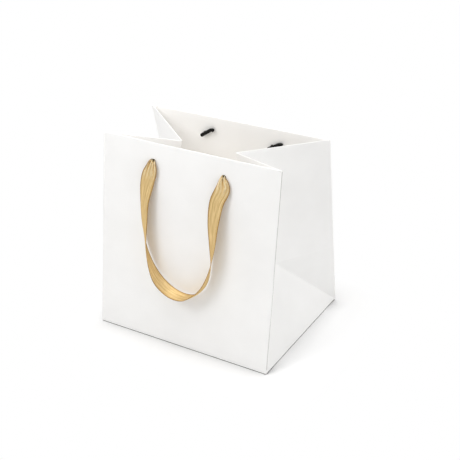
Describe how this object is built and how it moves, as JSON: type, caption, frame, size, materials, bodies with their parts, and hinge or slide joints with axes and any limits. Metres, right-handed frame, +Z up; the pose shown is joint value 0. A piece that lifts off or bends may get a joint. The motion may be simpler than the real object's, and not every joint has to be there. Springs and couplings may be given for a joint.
{
  "type": "gift bag",
  "caption": "Standing paper gift bag with a folded-in mouth, creased side gussets, a stiffened base and hanging satin ribbon handles held by toggles.",
  "frame": {"origin": "bottom centre of the box around the part, on the surface it stands on", "axes": "+Z up, +X to the right along the wide walls, the front wall faces -Y"},
  "size_m": [0.231, 0.1924, 0.2276],
  "materials": {
    "white_paper": "matt laminated",
    "grey_board": "uncoated",
    "gold_satin": "satin",
    "black_plastic": "moulded"
  },
  "bodies": {
    "base": {"base_board": "grey_board", "bottom_flap_back": "white_paper", "bottom_flap_front": "white_paper", "bottom_flap_left": "white_paper", "bottom_flap_right": "white_paper", "left_gusset_back": "white_paper", "left_gusset_foot": "white_paper", "left_gusset_front": "white_paper", "left_gusset_low_fold": "white_paper", "right_gusset_back": "white_paper", "right_gusset_foot": "white_paper", "right_gusset_front": "white_paper", "right_gusset_low_fold": "white_paper"},
    "front_wall": {"front_panel": "white_paper", "front_top_board": "grey_board"},
    "back_wall": {"back_panel": "white_paper", "back_top_board": "grey_board", "back_seam_lap": "white_paper"},
    "front_handle": {"front_handle": "gold_satin"},
    "back_handle": {"back_handle": "gold_satin"},
    "front_left_toggle": {"front_left_toggle": "black_plastic"},
    "front_right_toggle": {"front_right_toggle": "black_plastic"},
    "back_left_toggle": {"back_left_toggle": "black_plastic"},
    "back_right_toggle": {"back_right_toggle": "black_plastic"}
  },
  "joints": [
    {"name": "front_wall_lean", "type": "hinge", "parent": "base", "child": "front_wall", "pos_m": [0, -0.088, 0], "axis": [-1, 0, 0], "range_deg": [-4, 8], "deforming": ["left_gusset_front", "right_gusset_front"]},
    {"name": "back_wall_lean", "type": "hinge", "parent": "base", "child": "back_wall", "pos_m": [0, 0.088, 0], "axis": [1, 0, 0], "range_deg": [-4, 8], "deforming": ["left_gusset_back", "right_gusset_back", "left_gusset_low_fold", "right_gusset_low_fold"]},
    {"name": "front_handle_swing", "type": "hinge", "parent": "front_wall", "child": "front_handle", "pos_m": [0, -0.06122, 0.2078], "axis": [-1, 0, 0], "range_deg": [0, 160]},
    {"name": "back_handle_swing", "type": "hinge", "parent": "back_wall", "child": "back_handle", "pos_m": [0, 0.05095, 0.20316], "axis": [1, 0, 0], "range_deg": [0, 160]},
    {"name": "front_left_toggle_turn", "type": "hinge", "parent": "front_wall", "child": "front_left_toggle", "pos_m": [-0.044, -0.05884, 0.20746], "axis": [0, -0.9903, 0.1392], "range_deg": [-60, 60]},
    {"name": "front_right_toggle_turn", "type": "hinge", "parent": "front_wall", "child": "front_right_toggle", "pos_m": [0.044, -0.05884, 0.20746], "axis": [0, -0.9903, 0.1392], "range_deg": [-60, 60]},
    {"name": "back_left_toggle_turn", "type": "hinge", "parent": "back_wall", "child": "back_left_toggle", "pos_m": [-0.044, 0.0486, 0.20271], "axis": [0, 0.9816, 0.1908], "range_deg": [-60, 60]},
    {"name": "back_right_toggle_turn", "type": "hinge", "parent": "back_wall", "child": "back_right_toggle", "pos_m": [0.044, 0.0486, 0.20271], "axis": [0, 0.9816, 0.1908], "range_deg": [-60, 60]}
  ]
}
